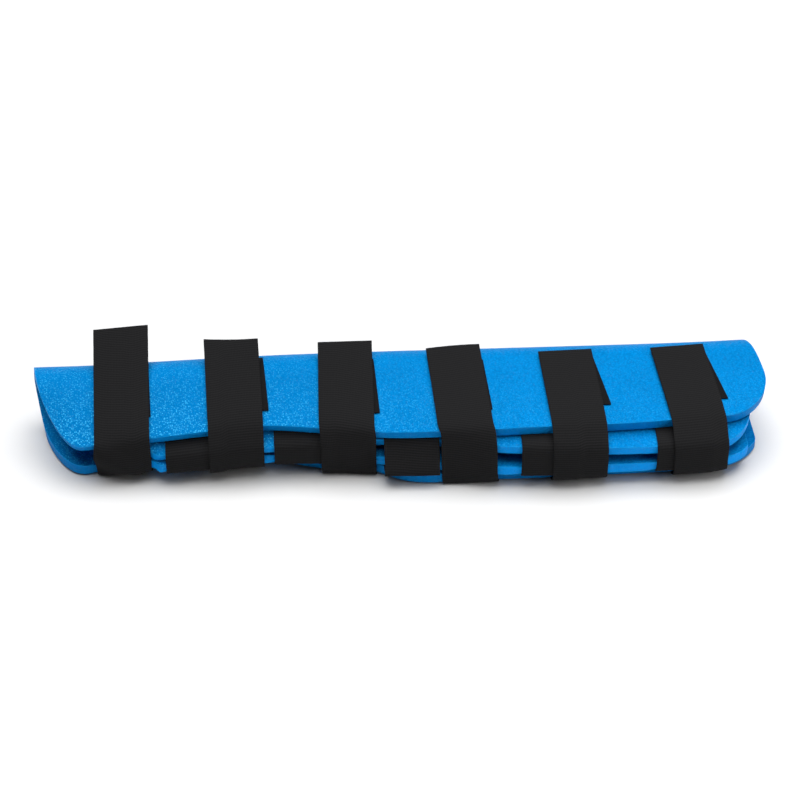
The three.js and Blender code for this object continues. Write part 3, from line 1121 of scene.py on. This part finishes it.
@dataclass(kw_only=True)
class OuterStrap(Tape):
    """A strap round the outer sheet, from under its lower leaf to a free end over the hook pad."""

    name: str = "outer_loop_strap_{}"
    node: str = "outer_strap_{}"
    slot: str = "strap"
    hold: Hold = Hold.STRETCHED
    under: tuple[str, ...] = (OUTER_SHEET.name, "hook_tape_{}")
    place: StrapPlace
    # The share of the width over which the strap is drawn in, and where it rises onto the pad.
    draw_from: float = 0.55
    pad_rise: float = 7.0

    def route(self) -> None:
        """Draws the strap round the open front, over the pad and past the start of the fold."""
        place = self.place
        over_pad = PAD_LAY + TAPE_THICKNESS + STRAP_LAY
        length = float(OUTER_SHEET.section(np.array([place.front])).upper[0])
        share = np.linspace(0, 1, FRONT_TURNS + 1)
        on_pad = length - place.tuck
        stops = np.array([on_pad + self.pad_rise, on_pad / 2, 0.0, -place.free])
        stage = (length - stops) / (length + place.free)
        columns = []
        for across in np.linspace(-0.5, 0.5, self.width_steps + 1):
            side = across * TAPE_WIDTH
            start_x = np.array([place.low + side])
            start = OUTER_SHEET.section(start_x).on_lower(0.0, STRAP_LAY + OWN_EASE)
            front_x = place.low + (place.front - place.low) * share + side
            front = self.round_front(front_x, share, front_x - side - TAPE_WIDTH / 2)
            end_x = place.front + (place.end - place.front) * stage + side
            section = OUTER_SHEET.section(end_x)
            from_fold = np.where(stops > 0, stops + section.upper - length, stops)
            from_fold[-1] -= place.skew * across
            # Half of the cup stands up at the sides, and half lies lower in the middle.
            rise = np.array([0, 0, 0, place.cup * (4 * across**2 - 0.5)])
            end = section.on_upper(from_fold, over_pad + rise)
            columns.append(route_of((start_x, start), (front_x, front), (end_x, end)))
        self.lay_out(columns)
        if place.crease:
            lift = place.crease.lift(self.points, self.normals)
            self.settle(self.points + self.normals * lift[..., None])

    def round_front(self, x: Array, share: Array, left: Array) -> Array:
        """Gives points round both sheets' front edges and over the straps on the inner one.

        Left of the inner sheet's end, the strap is a tent between its own left edge and that end.

        Args:
            x: Places along X.
            share: Share of the way up the front, at each place.
            left: Where the strap's left edge is, at each place.

        Returns:
            Points in the YZ plane.
        """
        own = STRAP_LAY + OWN_EASE
        over_strap = STRAP_LAY + TAPE_THICKNESS + STRAP_LAY
        inner_first = INNER_SHEET.first + INNER_SHEET.sweep_depth
        outer = OUTER_SHEET.front_corners(x)
        inner = INNER_SHEET.front_corners(np.maximum(x, inner_first))
        drawn = np.clip((x - left) / (self.draw_from * TAPE_WIDTH), 0, 1)[:, None]
        drawn = self.place.draw * drawn
        stood = self.place.stand * (1 - (x - left) / TAPE_WIDTH)[:, None]
        outer[:, :2, 0] += drawn - stood
        inner[..., 0] += drawn
        over = STRAP_LAY + INNER_EASE + (over_strap - INNER_EASE) * over_inner(x)
        tented = np.clip((x - left) / np.abs(TENT_FROM - left), 0, 1)
        tent = np.where(left < TENT_FROM, tented, 1.0)
        weight = tent[:, None, None, None]
        edge = OUTER_SHEET.front_corners(left)[:, :, None]
        ridges = (edge * (1 - weight) + inner[:, None] * weight).reshape(len(x), -1, 2)
        ridge_clear = np.broadcast_to((own + (over - own) * tent)[:, None], ridges.shape[:2])
        corners = np.concatenate([outer, ridges], 1)
        clear = np.concatenate([np.full(outer.shape[:2], own), ridge_clear], 1)
        return taut(corners, clear, front_angle(x, share))


@dataclass(kw_only=True)
class InnerStrap(Tape):
    """A strap round the inner sheet's front, from under its lower leaf to its upper leaf's back."""

    name: str = "inner_loop_strap_{}"
    node: str = "inner_strap_{}"
    slot: str = "strap"
    hold: Hold = Hold.STRETCHED
    under: tuple[str, ...] = (INNER_SHEET.name,)
    place: InnerPlace

    def route(self) -> None:
        """Draws the strap round the inner sheet's front edges, slack in front of the lower one."""
        share = np.linspace(0, 1, FRONT_TURNS + 1)
        left, right = self.place.slack_left, self.place.slack_right
        columns = []
        for across in np.linspace(-0.5, 0.5, self.width_steps + 1):
            x = np.full(FRONT_TURNS + 1, self.place.middle + across * TAPE_WIDTH)
            section = INNER_SHEET.section(x[:1])
            corners = INNER_SHEET.front_corners(x)
            corners[:, 0, 0] -= left + (right - left) * (across + 0.5)
            clear = np.full(corners.shape[:2], STRAP_LAY + OWN_EASE)
            start = section.on_lower(0.0, STRAP_LAY)
            front = taut(corners, clear, front_angle(x, share))
            end = section.on_upper(0.0, STRAP_LAY)
            columns.append(route_of((x[:1], start), (x, front), (x[:1], end)))
        self.lay_out(columns)


@dataclass(frozen=True)
class Lamp:
    """A light, in metres: its spread is a sun's angle or a panel's side."""

    name: str
    kind: str
    energy: float
    spread: float
    place: tuple[float, float, float]
    aim: tuple[float, float, float] = (0.0, 0.0, 0.0)
    glossy: bool = True

    def hang(self) -> None:
        """Hangs the light where it faces its aim."""
        data = bpy.data.lights.new(self.name, self.kind)
        data.energy = self.energy
        setattr(data, "angle" if self.kind == "SUN" else "size", self.spread)
        light = bpy.data.objects.new(self.name, data)
        toward = Vector(self.aim) - Vector(self.place)
        turned = toward.to_track_quat("-Z", "Y").to_matrix().to_4x4()
        light.matrix_world = Matrix.Translation(self.place) @ turned
        light.visible_glossy = self.glossy
        bpy.context.scene.collection.objects.link(light)


LAMPS = (
    Lamp("overhead sky", "SUN", 4.45, math.radians(60), (0.0, 0.12, 1.0), glossy=False),
    Lamp("front lamp", "SUN", 0.3, math.radians(18), (0.0, -0.55, 1.0)),
    Lamp("right window", "AREA", 2.8, 0.5, (1.0, -0.65, 0.6), aim=(0.1, 0.0, 0.04)),
)


@dataclass
class Studio:
    """A pale floor, soft light and the camera."""

    azimuth: float = -4.0
    elevation: float = 38.0
    distance: float = 2139.5
    lens: float = 103.5
    sensor: float = 36.0
    aim: tuple[float, float, float] = (1.1, 23.3, 39.7)
    # Studio paper, matt and pale, with half its side in metres.
    paper: str = "#D7D7D7"
    paper_roughness: float = 0.9
    paper_half: float = 6.0
    room_light: float = 0.05

    def floor(self) -> None:
        """Lays a wide pale floor under the splint."""
        mesh = bmesh.new()
        bmesh.ops.create_grid(mesh, x_segments=8, y_segments=8, size=self.paper_half)
        material, tree, shader = new_material("pale studio paper")
        finish = {"Base Color": linear(self.paper), "Roughness": self.paper_roughness}
        set_inputs(tree, shader, finish)
        finished_piece("studio_floor", mesh, material)

    def lights(self) -> None:
        """Lights the splint from overhead, the front and a window, in a dim white room."""
        world = bpy.data.worlds.new("white room")
        world.use_nodes = True
        room = {"Color": linear("#FFFFFF"), "Strength": self.room_light}
        set_inputs(world.node_tree, world.node_tree.nodes["Background"], room)
        bpy.context.scene.world = world
        for lamp in LAMPS:
            lamp.hang()

    def camera(self) -> None:
        """Sets the camera at the photograph's angle."""
        data = bpy.data.cameras.new("camera")
        data.lens = self.lens
        data.sensor_width = self.sensor
        turn, rise = math.radians(self.azimuth), math.radians(self.elevation)
        level = math.cos(rise)
        back = Vector((math.sin(turn) * level, -math.cos(turn) * level, math.sin(rise)))
        place = (Vector(self.aim) + back * self.distance) * MM
        turned = (-back).to_track_quat("-Z", "Y").to_matrix().to_4x4()
        camera = bpy.data.objects.new("camera", data)
        camera.matrix_world = Matrix.Translation(place) @ turned
        bpy.context.scene.collection.objects.link(camera)
        bpy.context.scene.camera = camera
        bpy.context.scene.view_settings.view_transform = "Standard"


def main() -> None:
    """Builds the splint's pieces round the frame, and the studio."""
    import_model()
    pads = [HookPad(number=n, place=place) for n, place in enumerate(STRAP_PLACES, 1)]
    outer = [OuterStrap(number=n, place=place) for n, place in enumerate(STRAP_PLACES, 1)]
    inner = [InnerStrap(number=n, place=place) for n, place in enumerate(INNER_PLACES, 1)]
    outer_foam = FoamFinish().material()
    # The inner sheet's cut edges are painted paler than the outer one's: painted light on its rims.
    inner_name = "closed-cell polyethylene foam, skived, fresh cut"
    inner_foam = FoamFinish(name=inner_name, cut="#0496F0").material()
    loop_tape = LoopTapeFinish().material()
    hook_tape = HookTapeFinish().material()
    OUTER_SHEET.build(outer, outer_foam)
    INNER_SHEET.build(outer + inner, inner_foam)
    for pad in pads:
        pad.build(hook_tape)
    for strap in outer + inner:
        strap.build(loop_tape)
    studio = Studio()
    studio.floor()
    studio.lights()
    studio.camera()


if __name__ == "__main__":
    main()
